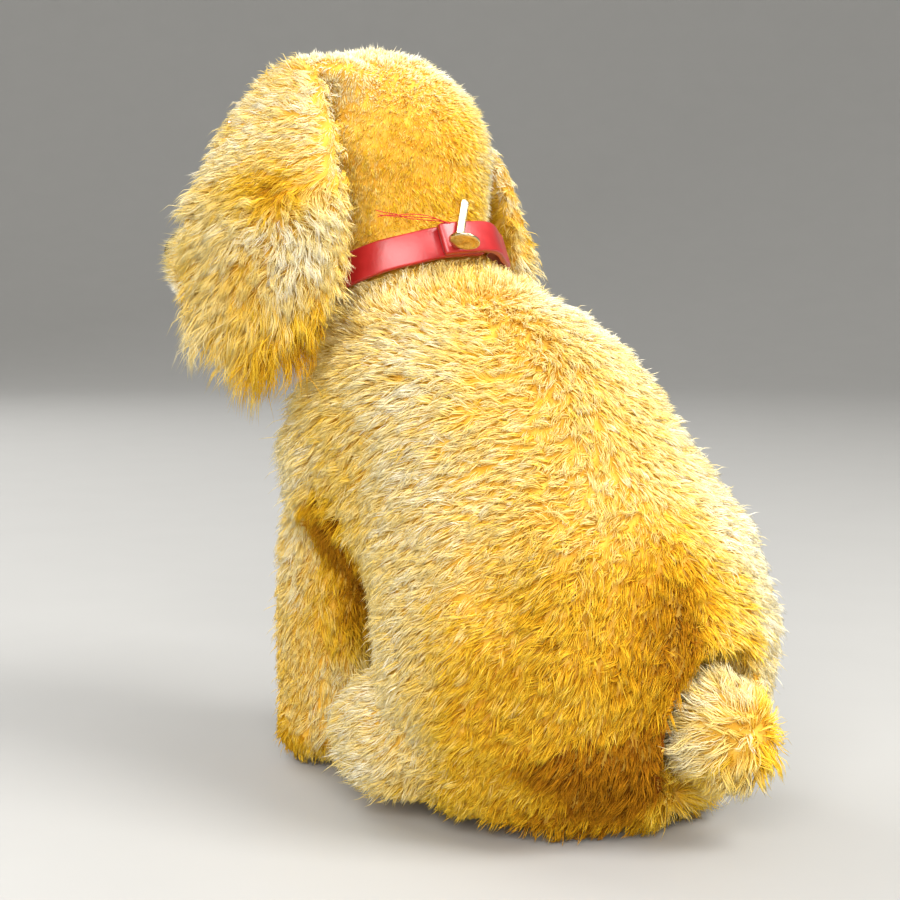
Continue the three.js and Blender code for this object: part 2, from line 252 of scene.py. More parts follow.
def fur_material(name, roots, tips):
    """Colour from the strand's tone (across) and the way from root to tip (along)."""
    mat, tree, bsdf = new_material(name, roughness=0.75, specular=0.08)
    place = tree.nodes.new("ShaderNodeUVMap")
    place.uv_map = STRAND_UV
    split = tree.nodes.new("ShaderNodeSeparateXYZ")
    tree.links.new(place.outputs["UV"], split.inputs["Vector"])
    tone = split.outputs["X"]
    roots = ramp(tree, list(zip(TONE_STOPS, roots)))
    tips = ramp(tree, list(zip(TONE_STOPS, tips)))
    # roots darker and more amber than the tips: partly the pile's own colour, partly painted shade deep in the
    # pile
    along = ramp(tree, [(0.15, (0, 0, 0)), (0.85, (1, 1, 1))])
    tree.links.new(tone, roots.inputs["Fac"])
    tree.links.new(tone, tips.inputs["Fac"])
    tree.links.new(split.outputs["Y"], along.inputs["Fac"])
    colour = mix_colour(tree, along.outputs["Color"], roots.outputs["Color"], tips.outputs["Color"])
    tree.links.new(colour, bsdf.inputs["Base Color"])
    return mat


def cloth_material(name, dark, light):
    """The woven backing that shows between the hairs."""
    mat, tree, bsdf = new_material(name, roughness=0.9, specular=0.2)
    place = object_place(tree)
    cloud = noise(tree, 260, detail=4, vector=place)
    coloured_by(tree, bsdf, cloud, (0.3, 0.7), (dark, light))
    weave = noise(tree, 2200, detail=2, vector=place)
    bump(tree, bsdf, weave.outputs["Fac"], 0.5, 0.0002)
    return mat


def leather_material():
    """Glazed red strap: fine grain, colour and roughness varying in patches, a soft sheen."""
    mat, tree, bsdf = new_material("red_leather", roughness=0.38, specular=0.6)
    place = object_place(tree)
    cloud = noise(tree, 180, detail=4, vector=place)
    reds = ((0.30, 0.006, 0.007), (0.44, 0.010, 0.012), (0.52, 0.03, 0.03))
    coloured_by(tree, bsdf, cloud, (0.3, 0.55, 0.8), reds)
    wear = ramp(tree, [(0.3, (0.30, 0.30, 0.30)), (0.8, (0.50, 0.50, 0.50))])
    tree.links.new(cloud.outputs["Fac"], wear.inputs["Fac"])
    tree.links.new(wear.outputs["Color"], bsdf.inputs["Roughness"])
    bsdf.inputs["Coat Weight"].default_value = 0.35
    bsdf.inputs["Coat Roughness"].default_value = 0.3
    grain = noise(tree, 1600, detail=3, vector=place)
    bump(tree, bsdf, grain.outputs["Fac"], 0.25, 0.00012)
    return mat


def metal_material(name, colour, dull, roughness):
    """Drawn or pressed metal, a little tarnished in patches."""
    mat, tree, bsdf = new_material(name, roughness=roughness, metallic=1.0)
    place = object_place(tree)
    tarnish = noise(tree, 420, detail=4, vector=place)
    coloured_by(tree, bsdf, tarnish, (0.35, 0.65), (dull, colour))
    scratches = noise(tree, 3000, detail=2, vector=place)
    bump(tree, bsdf, scratches.outputs["Fac"], 0.15, 0.00005)
    return mat


def thread_material(name, dark, light):
    """Spun thread, with its twist as fine bands."""
    mat, tree, bsdf = new_material(name, roughness=0.6, specular=0.4)
    place = object_place(tree)
    twist = noise(tree, 2600, detail=2, vector=place)
    coloured_by(tree, bsdf, twist, (0.35, 0.65), (dark, light))
    bump(tree, bsdf, twist.outputs["Fac"], 0.4, 0.0001)
    return mat


def board_material():
    """Pressed fibre board: flecks of pulp."""
    mat, tree, bsdf = new_material("fibre_board", roughness=0.9, specular=0.2)
    place = object_place(tree)
    pulp = noise(tree, 900, detail=5, vector=place)
    coloured_by(tree, bsdf, pulp, (0.3, 0.7), ((0.16, 0.09, 0.04), (0.34, 0.22, 0.11)))
    bump(tree, bsdf, pulp.outputs["Fac"], 0.4, 0.0002)
    return mat


def glass_eye_material():
    """Brown glass over a black pupil: rings by height along the eye's own axis."""
    mat, tree, bsdf = new_material("glass_eye", roughness=0.04, specular=0.7)
    split = tree.nodes.new("ShaderNodeSeparateXYZ")
    tree.links.new(object_place(tree), split.inputs["Vector"])
    height = tree.nodes.new("ShaderNodeMapRange")
    height.inputs["From Min"].default_value = 0.0
    height.inputs["From Max"].default_value = EYE_RADIUS * MM
    tree.links.new(split.outputs["Z"], height.inputs["Value"])
    rings = ramp(
        tree,
        [
            (0.50, (0.012, 0.005, 0.002)),
            (0.62, (0.16, 0.045, 0.008)),
            (0.80, (0.30, 0.10, 0.016)),
            (0.86, (0.20, 0.06, 0.010)),
            (0.89, (0.004, 0.003, 0.003)),
        ],
    )
    tree.links.new(height.outputs["Result"], rings.inputs["Fac"])
    tree.links.new(rings.outputs["Color"], bsdf.inputs["Base Color"])
    bsdf.inputs["Coat Weight"].default_value = 1.0
    bsdf.inputs["Coat Roughness"].default_value = 0.02
    return mat


# ---------------------------------------------------------------- base surfaces under the coat


def swept(rings):
    """Vertices and faces of a skin over rings of points, closed by a face at each end."""
    count, around = len(rings), len(rings[0])
    faces = []
    for k in range(count - 1):
        here, there = k * around, (k + 1) * around
        for i in range(around):
            j = (i + 1) % around
            faces.append((here + i, here + j, there + j, there + i))
    faces.append(tuple(reversed(range(around))))
    faces.append(tuple(range((count - 1) * around, count * around)))
    return np.concatenate(rings), faces


def ball_ring(way, around):
    """One ring of a unit ball, at the angle way from its top."""
    turn = turns(around)
    wide, high = math.sin(way), math.cos(way)
    return np.stack([np.cos(turn) * wide, np.sin(turn) * wide, 0 * turn + high], axis=1)


def rounded(centre, half, around=32, rows=18):
    """A closed ellipsoid in the head's own directions, as vertices and faces."""
    ways = np.linspace(0.03, math.pi - 0.03, rows)
    return swept([from_head(ball_ring(way, around) * half + centre) for way in ways])


def join(parts):
    verts, faces = [], []
    start = 0
    for part_verts, part_faces in parts:
        verts.append(part_verts)
        faces += [tuple(i + start for i in face) for face in part_faces]
        start += len(part_verts)
    return np.concatenate(verts), faces


def joined_copy(names, forms=()):
    """The CAD nodes, and any extra rounded forms of the skin's own, as one mesh."""
    verts, faces, start = [], [], 0
    for name in names:
        data = frame["nodes"][name].data
        verts += [tuple(v.co) for v in data.vertices]
        faces += [tuple(i + start for i in p.vertices) for p in data.polygons]
        start = len(verts)
    for form_verts, form_faces in forms:
        verts += [tuple(v * MM) for v in form_verts]
        faces += [tuple(i + start for i in face) for face in form_faces]
        start = len(verts)
    mesh = bpy.data.meshes.new("joined")
    mesh.from_pydata(verts, [], faces)
    return mesh


def vertex_values(mesh, key):
    """The place ("co") or the normal of every vertex."""
    values = np.zeros(len(mesh.vertices) * 3)
    mesh.vertices.foreach_get(key, values)
    return values.reshape(-1, 3)


def with_modifiers(obj):
    """The object's mesh with its modifiers applied, as its own data."""
    bpy.context.view_layer.update()
    depsgraph = bpy.context.evaluated_depsgraph_get()
    made = bpy.data.meshes.new_from_object(obj.evaluated_get(depsgraph))
    obj.modifiers.clear()
    obj.data = made
    return obj


def add_object(name, mesh, material=None, smooth=True):
    obj = bpy.data.objects.new(name, mesh)
    bpy.context.scene.collection.objects.link(obj)
    if material:
        mesh.materials.append(material)
    if smooth:
        mesh.polygons.foreach_set("use_smooth", np.ones(len(mesh.polygons), bool))
    return obj


def keep_largest(mesh):
    """Drops every island but the one with the most corners."""
    count = len(mesh.vertices)
    edges = np.zeros(len(mesh.edges) * 2, np.int64)
    mesh.edges.foreach_get("vertices", edges)
    edges = edges.reshape(-1, 2)
    label = np.arange(count)
    while True:
        low = np.minimum(label[edges[:, 0]], label[edges[:, 1]])
        after = label.copy()
        np.minimum.at(after, edges[:, 0], low)
        np.minimum.at(after, edges[:, 1], low)
        after = after[after]
        if (after == label).all():
            break
        label = after
    values, sizes = np.unique(label, return_counts=True)
    keep = label == values[sizes.argmax()]
    renumber = np.cumsum(keep) - 1
    faces = [tuple(int(renumber[i]) for i in p.vertices) for p in mesh.polygons if keep[p.vertices[0]]]
    out = bpy.data.meshes.new("largest")
    out.from_pydata(vertex_values(mesh, "co")[keep].tolist(), [], faces)
    return out


def attach(obj, body):
    """A piece with a lift joint of its own, an ear, only has its place baked into its mesh; the rest rides rigidly
    on its body.
    """
    joint = JOINT.get(f"{body}_lift")
    if joint is None:
        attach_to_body(obj, body)
        return
    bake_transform(obj)


def skin(name, nodes, voxel, passes, inset, material, body, forms=()):
    """One smooth closed surface round the CAD nodes, a little inside their outer face."""
    source = add_object("source", joined_copy(nodes, forms))
    remesh = source.modifiers.new("remesh", "REMESH")
    remesh.mode = "VOXEL"
    remesh.voxel_size = voxel * MM
    with_modifiers(source)
    mesh = keep_largest(source.data)
    bpy.data.objects.remove(source)
    obj = add_object(name, mesh, material)
    smooth = obj.modifiers.new("smooth", "SMOOTH")
    smooth.iterations = passes
    smooth.factor = 0.6
    with_modifiers(obj)
    mesh = obj.data
    co = vertex_values(mesh, "co")
    radius, height, _ = neck_place(co / MM)
    # no pile grows under the strap, so there the skin keeps the CAD's size
    gathered = (1 - smooth_step(radius, 17, 22)) * (1 - smooth_step(np.abs(height), 6, 11))
    depth = (inset * (1 - gathered))[:, None]
    mesh.vertices.foreach_set("co", (co - vertex_values(mesh, "normal") * depth * MM).reshape(-1))
    mesh.update()
    mesh.polygons.foreach_set("use_smooth", np.ones(len(mesh.polygons), bool))
    attach(obj, body)
    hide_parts(*nodes)
    return obj


def sample(obj, density, rng):
    """Random places on a surface, evenly spread, with normals. Density is per square millimetre."""
    mesh = obj.data
    mesh.calc_loop_triangles()
    tris = np.zeros(len(mesh.loop_triangles) * 3, np.int64)
    mesh.loop_triangles.foreach_get("vertices", tris)
    tris = tris.reshape(-1, 3)
    co = vertex_values(mesh, "co") / MM
    normals = vertex_values(mesh, "normal")
    a, b, c = (co[tris[:, k]] for k in range(3))
    area = np.linalg.norm(np.cross(b - a, c - a), axis=1) / 2
    count = int(area.sum() * density)
    chosen = rng.choice(len(tris), count, p=area / area.sum())
    u, v = rng.random(count), rng.random(count)
    flip = u + v > 1
    u[flip], v[flip] = 1 - u[flip], 1 - v[flip]
    w = np.stack([1 - u - v, u, v], axis=1)[:, :, None]
    corners = tris[chosen]
    return (co[corners] * w).sum(1), unit((normals[corners] * w).sum(1))


# ---------------------------------------------------------------- strands


def turned(v, normal, angle):
    side = np.cross(normal, v)
    return v * np.cos(angle)[:, None] + side * np.sin(angle)[:, None]


def grow(root, normal, coat, points):
    """Curves of hairs from roots to tips.

    coat gives each hair's flow (the way it lies), angle (its stray from that), length, lift (its angle
    above the skin), hug and sag (how far its tip bends to the skin and down) and its waves and curl.
    """
    t = np.linspace(0, 1, points)[None, :, None]
    flow = unit(coat["flow"] - (coat["flow"] * normal).sum(1, keepdims=True) * normal)
    flow = turned(flow, normal, coat["angle"])
    side = np.cross(normal, flow)
    length = coat["length"][:, None, None]
    lift = coat["lift"][:, None]
    heading = flow * np.cos(lift) + normal * np.sin(lift)
    wave = np.sin(2 * np.pi * (coat["waves"][:, None, None] * t + coat["phase"][:, None, None]))
    wave -= np.sin(2 * np.pi * coat["phase"][:, None, None])
    curve = heading[:, None, :] * t
    curve = curve - normal[:, None, :] * (coat["hug"][:, None, None] * t * t)
    curve = curve + side[:, None, :] * wave * coat["curl"][:, None, None] * t
    curve = curve - UP * (coat["sag"][:, None, None] * t * t)
    return (root - normal * ROOT_DEPTH)[:, None, :] + curve * length


def clear_of_collar(points):
    """Stops strands at the strap's edge on the side of it that they grow from."""
    radius, height, _ = neck_place(points)
    side = np.where(height[:, :1] < 0, -1.0, 1.0)
    short = STRAP_HALF + STRAP_GAP - height * side
    inside = (short > 0) & (radius < STRAP_OUTER + 0.25) & (radius > NECK_CORE)
    return points + NECK_AXIS * (np.where(inside, short, 0) * side)[..., None]


def strand_mesh(name, points, radius, tone):
    """Closed three-sided tapering hairs as one mesh, with tone and way along as UVs."""
    n, k, _ = points.shape
    heading = unit(np.gradient(points, axis=1))
    guide = unit(np.cross(heading, np.array([0.31, 0.17, 0.93])))
    other = np.cross(heading, guide)
    t = np.linspace(0, 1, k)
    taper = (1 - 0.25 * t - 0.72 * t**3)[None, :, None] * radius[:, None, None]
    rings = []
    for corner in range(3):
        angle = 2 * np.pi * corner / 3
        rings.append(points + (guide * math.cos(angle) + other * math.sin(angle)) * taper)
    rings = np.stack(rings, axis=2)[:, :-1]
    verts = np.concatenate([rings.reshape(n, -1, 3), points[:, -1:, :]], axis=1)
    per = verts.shape[1]
    tris = []
    for ring in range(k - 2):
        for corner in range(3):
            a, b = 3 * ring + corner, 3 * ring + (corner + 1) % 3
            tris += [(a, b, b + 3), (a, b + 3, a + 3)]
    last = 3 * (k - 2)
    for corner in range(3):
        tris.append((last + corner, last + (corner + 1) % 3, per - 1))
    tris.append((2, 1, 0))
    tris = np.array(tris)
    corners = (tris[None] + (np.arange(n) * per)[:, None, None]).reshape(-1)
    across = np.array([-1.0, 0.0, 1.0] * (k - 1) + [0.0]) * 0.012
    along = np.array([t[i // 3] for i in range(3 * (k - 1))] + [1.0])
    uv = np.empty((n, per, 2))
    uv[:, :, 0] = np.clip(tone[:, None] + across[None], 0.002, 0.998)
    uv[:, :, 1] = along[None] * 0.98 + 0.01
    mesh = bpy.data.meshes.new(name)
    faces = n * len(tris)
    mesh.vertices.add(n * per)
    mesh.vertices.foreach_set("co", (verts * MM).astype(np.float32).reshape(-1))
    mesh.loops.add(faces * 3)
    mesh.loops.foreach_set("vertex_index", corners.astype(np.int32))
    mesh.polygons.add(faces)
    mesh.polygons.foreach_set("loop_start", np.arange(0, faces * 3, 3, dtype=np.int32))
    mesh.polygons.foreach_set("use_smooth", np.ones(faces, bool))
    layer = mesh.uv_layers.new(name=STRAND_UV)
    layer.data.foreach_set("uv", uv.reshape(-1, 2)[corners].astype(np.float32).reshape(-1))
    mesh.update(calc_edges=True)
    return mesh


def nearest(places, centres):
    tree = kdtree.KDTree(len(centres))
    for index, centre in enumerate(centres):
        tree.insert(centre, index)
    tree.balance()
    return np.array([tree.find(p)[1] for p in places])


def coat_values(rule, place, normal, seed):
    """The rule's values plus each lock's own chance differences."""
    rng = np.random.default_rng(seed)
    n = len(place)
    values = rule(place, normal)
    stray = values.pop("stray")
    values = {key: np.full(n, value) if np.isscalar(value) else value for key, value in values.items()}
    values["angle"] = rng.normal(0, stray, n)
    values["length"] = values["length"] * rng.uniform(0.7, 1.15, n)
    values["lift"] = np.clip(values["lift"] + rng.normal(0, 0.1, n), 0.05, 1.5)
    values["phase"] = rng.random(n)
    values["waves"] = values["waves"] * rng.uniform(0.8, 1.25, n)
    values["tone"] = values["tone"] + rng.normal(0, 0.07, n)
    return values


def hair_values(lock, owner, rng):
    """Each hair's own values: its lock's, with small differences, and now and then a loose hair's."""
    n = len(owner)
    own = {key: value[owner] for key, value in lock.items()}
    own["length"] = own["length"] * rng.uniform(0.72, 1.08, n)
    own["angle"] = own["angle"] + rng.normal(0, 0.13, n)
    own["lift"] = np.clip(own["lift"] + rng.normal(0, 0.09, n), 0.03, 1.5)
    own["phase"] = own["phase"] + rng.normal(0, 0.06, n)
    loose = rng.random(n) < 0.025
    own["length"] = np.where(loose, own["length"] * 1.25, own["length"])
    own["lift"] = np.where(loose, own["lift"] + 0.35, own["lift"])
    own["gather"] = np.where(loose, 0.15, own["gather"])
    return own


def add_coat(body, points, width, tone, root_height):
    """The hairs as closed meshes, lowest first, in pieces small enough to go out whole."""
    count = points.shape[1]
    per_strand = 6 * (count - 2) + 4
    pieces = max(1, math.ceil(len(points) / (LARGEST_PIECE // per_strand)))
    order = np.argsort(root_height, kind="stable")
    for index, part in enumerate(np.array_split(order, pieces)):
        name = f"{body}_pile_{index + 1}"
        mesh = strand_mesh(name, points[part], width[part], tone[part])
        obj = add_object(name, mesh, gold_fur, smooth=False)
        attach(obj, body)


def fur(body, base, rule, density, lock_area, seed, radius, count=4):
    """Grows a coat of hairs over a base surface, gathered into locks. Density is hairs per mm2."""
    rng = np.random.default_rng(seed)
    lock_root, lock_normal = sample(base, 1 / lock_area, rng)
    lock = coat_values(rule, lock_root, lock_normal, seed + 1)
    root, normal = sample(base, density, rng)
    owner = nearest(root, lock_root)
    own = hair_values(lock, owner, rng)
    alive = own["length"] > SHORTEST_HAIR
    root, normal, owner = root[alive], normal[alive], owner[alive]
    own = {key: value[alive] for key, value in own.items()}
    n = len(root)
    guides = grow(lock_root, lock_normal, lock, count)[owner]
    points = grow(root, normal, own, count)
    t = np.linspace(0, 1, count)[None, :, None]
    scatter = rng.normal(0, 0.2, (n, 1, 3)) * t
    pull = own["gather"][:, None, None] * rng.uniform(0.5, 1.0, (n, 1, 1))
    pull = pull * smooth_step(t, 0.1, 1.1)
    points = points * (1 - pull) + (guides + scatter) * pull
    points = clear_of_collar(points)
    points[..., 2] = np.maximum(points[..., 2], ABOVE_FLOOR)
    tone = np.clip(own["tone"] + rng.normal(0, 0.06, n), 0, 1)
    width = radius * rng.uniform(0.75, 1.2, n)
    add_coat(body, points, width, tone, root[:, 2])


# ---------------------------------------------------------------- how the coat lies

# A rule gives the values that grow() uses, for places on the skin. Lengths are in millimetres and lift
# and stray in radians. gather is how far a hair is drawn into its lock. Tone runs from 0, dark amber, to
# 1, nearly white.


def filled(n, value):
    return np.full(n, float(value))


def torso_regions(place):
    """How far each place on the torso belongs to each of its regions, from 0 to 1."""
    x, z = place[:, 0], place[:, 2]
    back = place[:, 1] - NECK[1]
    radius, height, _ = neck_place(place)
    near_neck = smooth_step(height, -16, -4) * (radius < 34)
    return {
        "low": 1 - smooth_step(z, 34, 52),
        "tail": 1 - smooth_step(np.linalg.norm(TAIL_ROOT - place, axis=1), 9, 15),
        "flank_edge": (1 - smooth_step(back, 12, 24)) * (z < 40) * (back > 1),
        "leg": (back < 1) & (np.abs(x) < 21) & (z < 44),
        "foot": (z < 24) & (back > 1) & (back < 26) & (np.abs(x) > 11),
        "neck": near_neck,
        "strap": smooth_step(height, -13, -6) * (1 - smooth_step(radius, 23, 28)),
        "chest": (1 - smooth_step(back, 0, 12)) * smooth_step(z, 30, 42) * (1 - near_neck),
        "under_strap": (height > -3) & (radius < 24),
        "seat": z < 5,
    }


def torso_flow(place, region):
    """The pile falls down the spine, parts over the low back, and leans forward and down the flanks."""
    n = len(place)
    x, z = place[:, 0], place[:, 2]
    back = place[:, 1] - NECK[1]
    side = np.where(x >= 0, 1.0, -1.0)
    low = region["low"]
    from_parting = x - 6 * smooth_step(z, 30, 50) * low
    aside = np.tanh(from_parting / 2.5) * (0.35 + 0.75 * low)
    spine = np.stack([aside, 0.5 - 0.5 * low, 0.3 * low - 0.9], axis=1)
    fall = np.clip((z - 66) / 20 - 0.3, -0.95, 0)
    flank = np.stack([0.5 * side, filled(n, -0.95), fall], axis=1)
    out = smooth_step(np.abs(x), 3, 18)[:, None]
    flow = spine * (1 - out) + flank * out
    flow[:, 2] -= 0.5 * smooth_step(back, 34, 54) * (z < 45)
    flow += unit(TAIL_ROOT - place) * 1.5 * region["tail"][:, None]
    flow[:, 2] -= 1.2 * region["flank_edge"]
    for name, way in (("leg", (0.15, -0.15, -1)), ("foot", (0.6, -1, -0.5))):
        own = np.stack([way[0] * side, filled(n, way[1]), filled(n, way[2])], axis=1)
        flow[region[name]] = own[region[name]]
    # against the strap the pile turns up the neck
    at_strap = region["strap"][:, None]
    away = neck_place(place)[2]
    return flow * (1 - at_strap) + (NECK_AXIS - 0.5 * away) * at_strap


def torso_length(place, normal, region):
    """Shorter at the neck, the flank's edge and the legs, longer on the chest and round the tail."""
    _, height, _ = neck_place(place)
    at_strap = region["strap"]
    length = 4.9 - 1.3 * region["neck"] - 1.2 * region["flank_edge"]
    length = np.where(region["leg"], 4.2, length)
    length = np.where(region["foot"], 4.8, length)
    length = length + 1.6 * region["chest"]
    length = length + 1.4 * region["tail"]
    length = length * (1 + 0.12 * patches(place, 8, 5))
    length = length * (1 - at_strap) + np.clip(0.8 - height, 2.6, 4.8) * at_strap
    length = np.where((normal[:, 2] < -0.75) & region["seat"], 1.6, length)
    return np.where(region["under_strap"], 0, length)


def torso_tone(place, region):
    """Paler over the shoulders, and over the far side as painted light; darker amber as painted shade over the low
    back on the near side, in the crease, in the hollow by the foreleg and low on the rump and seat.
    """
    x, z = place[:, 0], place[:, 2]
    back = place[:, 1] - NECK[1]
    ragged = z + 3.5 * patches(place, 9, 4)
    near_side = smooth_step(x + 4 * patches(place, 6, 14), -13, 5)
    # painted shade: darker amber over the low back, on the near side only
    low_back = smooth_step(back, 30, 54) * (1 - smooth_step(ragged, 26, 54)) * near_side
    # painted shade in a crease of the low back
    crease = bell(x - 7, 5) * bell(z - 35, 9) * smooth_step(back, 46, 56)
    # painted shade in the hollow between the foreleg and the flank
    hollow = bell(back - 3, 5.5) * (1 - smooth_step(z, 40, 50)) * smooth_step(z, 14, 26)
    # painted shade: darkest low on the rump by the tail, and along the seat by the floor
    rump_shade_reach = np.linalg.norm((place - RUMP_SHADE_AT) * np.array([1, 1, 1.2]), axis=1) + 4 * patches(place, 6, 12)
    underside = np.maximum(1 - smooth_step(rump_shade_reach, 5, 15), 0.35 * (1 - smooth_step(ragged, 2, 9)))
    tone = 0.76 - 0.04 * smooth_step(z, 34, 66) + 0.11 * patches(place, 17, 3)
    tone -= 0.48 * low_back + hollow + 0.85 * underside + 0.3 * crease
    tone += 0.2 * region["tail"] * low_back
    # painted light: the far side is paler, where the key light falls
    return tone + 0.14 * (1 - near_side) * smooth_step(z, 12, 30)


def torso_coat(place, normal):
    """Back, flanks, haunches, chest and legs."""
    region = torso_regions(place)
    # where the pile turns to meet the strap it stands straight, so that nothing parts
    turning = 4 * region["strap"] * (1 - region["strap"])
    return {
        "flow": torso_flow(place, region),
        "length": torso_length(place, normal, region),
        "lift": 0.85 + 0.1 * region["neck"] + 0.15 * region["tail"] + 0.55 * turning,
        "hug": 0.34,
        "waves": 0.7,
        "curl": 0.05,
        "sag": 0.05,
        "gather": 0.65 - 0.25 * region["neck"] - 0.25 * region["strap"],
        "stray": 0.34,
        "tone": torso_tone(place, region),
    }


def head_coat(place, _normal):
    """The short pile of the head, swept back from the muzzle and down to the strap."""
    left, back, up = in_head(place).T
    sideways = HEAD_LEFT * np.tanh(left / 5)[:, None]
    flow = 0.4 * HEAD_BACK + 0.7 * sideways - 0.8 * HEAD_UP
    forehead = (smooth_step(-back, 6, 20) * smooth_step(up, 8, 14))[:, None]
    flow = flow * (1 - forehead) + (0.8 * HEAD_BACK + 0.5 * sideways + HEAD_UP) * forehead
    muzzle = smooth_step(-back, 24, 34) * smooth_step(-up, -18, -8)
    nose = np.linalg.norm(in_head(place) - NOSE_AT, axis=1)
    round_nose = (1 - smooth_step(nose, 8, 11))[:, None]
    face_flow = HEAD_BACK + 0.5 * sideways - 0.3 * HEAD_UP
    face_flow = face_flow * (1 - round_nose) - (HEAD_BACK - 0.6 * sideways) * round_nose
    flow = flow * (1 - muzzle)[:, None] + face_flow * muzzle[:, None]
    radius, height, away = neck_place(place)
    collar_edge = ((height < 10) & (radius < 24)).astype(float)
    flow = flow * (1 - collar_edge)[:, None] + (0.2 * away - NECK_AXIS) * collar_edge[:, None]
    length = 2.4 + 2.4 * round_nose[:, 0] * smooth_step(up, -4, 2)
    length = np.where((height < 3.5) & (radius < 21), 0, length)
    length = np.where((nose < 5.4) & (back < -42.5), 0, length)
    for eye_side in (1, -1):
        eye = np.linalg.norm(in_head(place) - EYE_AT * np.array([eye_side, 1, 1]), axis=1)
        length = np.where(eye < 4.0, 0, length)
    # darker gold behind the ears as painted shade, on the near side only; paler over the crown and down the far
    # side, white under the mouth
    behind_ears = smooth_step(back, -10, 6) * (1 - smooth_step(up, 21, 33)) * smooth_step(left, -12, 4)
    under_mouth = smooth_step(-up, -1, 4) * muzzle
    tone = 0.86 - 0.45 * behind_ears - 0.18 * muzzle + 0.45 * under_mouth + 0.05 * patches(place, 9, 6)
    return {
        "flow": flow,
        "length": length,
        "lift": 1.0,
        "hug": 0.2,
        "waves": 0.5,
        "curl": 0.04,
        "sag": 0.02,
        "gather": 0.3,
        "stray": 0.22,
        "tone": tone,
    }


def ear_coat(place, normal):
    """Short and smooth at the top like the crown, then tufts that fall from a whorl at mid height."""
    n = len(place)
    left, back, up = in_head(place).T
    side = np.sign(left)
    across, rise = back - EAR_MIDDLE[1], up - EAR_MIDDLE[2]
    outer = smooth_step((normal @ HEAD_LEFT) * side + 1.2 * smooth_step(across, 5, 12), -0.5, -0.1)
    reach = np.hypot(across, rise)
    above = smooth_step(rise, 4, 13)
    rear = smooth_step(across, 3, 9)
    low = 1 - smooth_step(rise, -16, -6)
    # a loose fan under and beside the whorl
    fan = np.stack([across / (reach + 3), rise / (reach + 3) - 0.8], axis=1)
    top = np.stack([filled(n, -0.8), 0.5 * smooth_step(rise, 14, 24) - 0.3], axis=1)
    flow = fan * (1 - above)[:, None] + top * above[:, None]
    flow = flow[:, :1] * HEAD_BACK + flow[:, 1:] * HEAD_UP
    rim = smooth_step(normal @ HEAD_BACK, 0.25, 0.6)
    side_way = HEAD_LEFT * side[:, None] + 0.5 * HEAD_BACK - 0.8 * HEAD_UP
    flow = flow * (1 - rim)[:, None] + side_way * rim[:, None]
    tufts = patches(place, 6.5, 15)
    length = 6.2 - 2.4 * above - 1.6 * rear * (1 - low) + 2.0 * low * (1 - rear)
    length = length * (1 + 0.22 * tufts * (1 - above))
    length = length * outer + 2.4 * (1 - outer)
    # painted shade: a darker amber band across the hollow below the ear's upper fold
    band = bell(rise - 8, 3.2) * bell(across, 8)
    tone = 0.72 + 0.10 * tufts - 0.36 * band + 0.22 * bell(reach, 3.5) + 0.12 * rim * above
    # painted shade: the ear is darker low down towards its rear
    tone = tone - 0.66 * low * smooth_step(across, -8, 4) - 0.25 * (1 - outer) + 0.08 * above
    return {
        "flow": flow,
        "length": np.maximum(length, 2.8),
        "lift": 0.75 + 0.3 * bell(reach, 5),
        "hug": 0.3,
        "waves": 1.0,
        "curl": 0.1,
        "sag": 0.14,
        "gather": 0.72 - 0.45 * above,
        "stray": 0.3 + 0.5 * bell(reach, 5),
        "tone": tone,
    }


def tail_coat(place, _normal):
    """Tufts that turn out all round from a whorl at the tip."""
    low, high = node_box("tail_cover")
    whorl = (low + high) / 2 + np.array([0, 5.0, 1.0])
    spread = place - whorl
    reach = np.linalg.norm(spread, axis=1)
    tip = bell(reach, 4)
    upper_left = np.clip(unit(spread) @ unit(np.array([0.7, 0.0, 0.6])), 0, 1)
    return {
        "flow": spread * np.array([1, 1, 1.2]),
        "length": 5.4 * (1 + 0.15 * patches(place, 5, 8)) + 2.0 * upper_left * (1 - tip),
        "lift": 0.7 + 0.3 * tip,
        "hug": 0.28,
        "waves": 1.0,
        "curl": 0.1,
        "sag": 0.05,
        "gather": 0.7,
        "stray": 0.35 + 0.4 * tip,
        "tone": 0.70 - 0.3 * tip + 0.1 * patches(place, 5, 9) + 0.16 * upper_left,
    }


# ---------------------------------------------------------------- build

torso_body = frame["record"]["behaviour"]["bodies"]["torso"]
torso_nodes = [name for name in torso_body if name not in ("body_disc", "body_washer")]
head_soft = ["left_head_panel", "right_head_panel", "head_gusset", "chin_panel", "head_stuffing"]

# the backing is a darker amber than the pile: painted shade for the gaps between the hairs
backing = cloth_material("mohair_backing", (0.62, 0.30, 0.02), (0.82, 0.52, 0.08))
gold_fur = fur_material(
    "gold_mohair_pile",
    roots=(
        (0.20, 0.05, 0.002),
        (0.54, 0.22, 0.004),
        (0.84, 0.48, 0.015),
        (0.92, 0.66, 0.14),
        (0.97, 0.87, 0.58),
    ),
    tips=(
        (0.60, 0.26, 0.008),
        (0.84, 0.48, 0.015),
        (0.97, 0.68, 0.06),
        (0.98, 0.86, 0.48),
        (0.99, 0.95, 0.82),
    ),
)

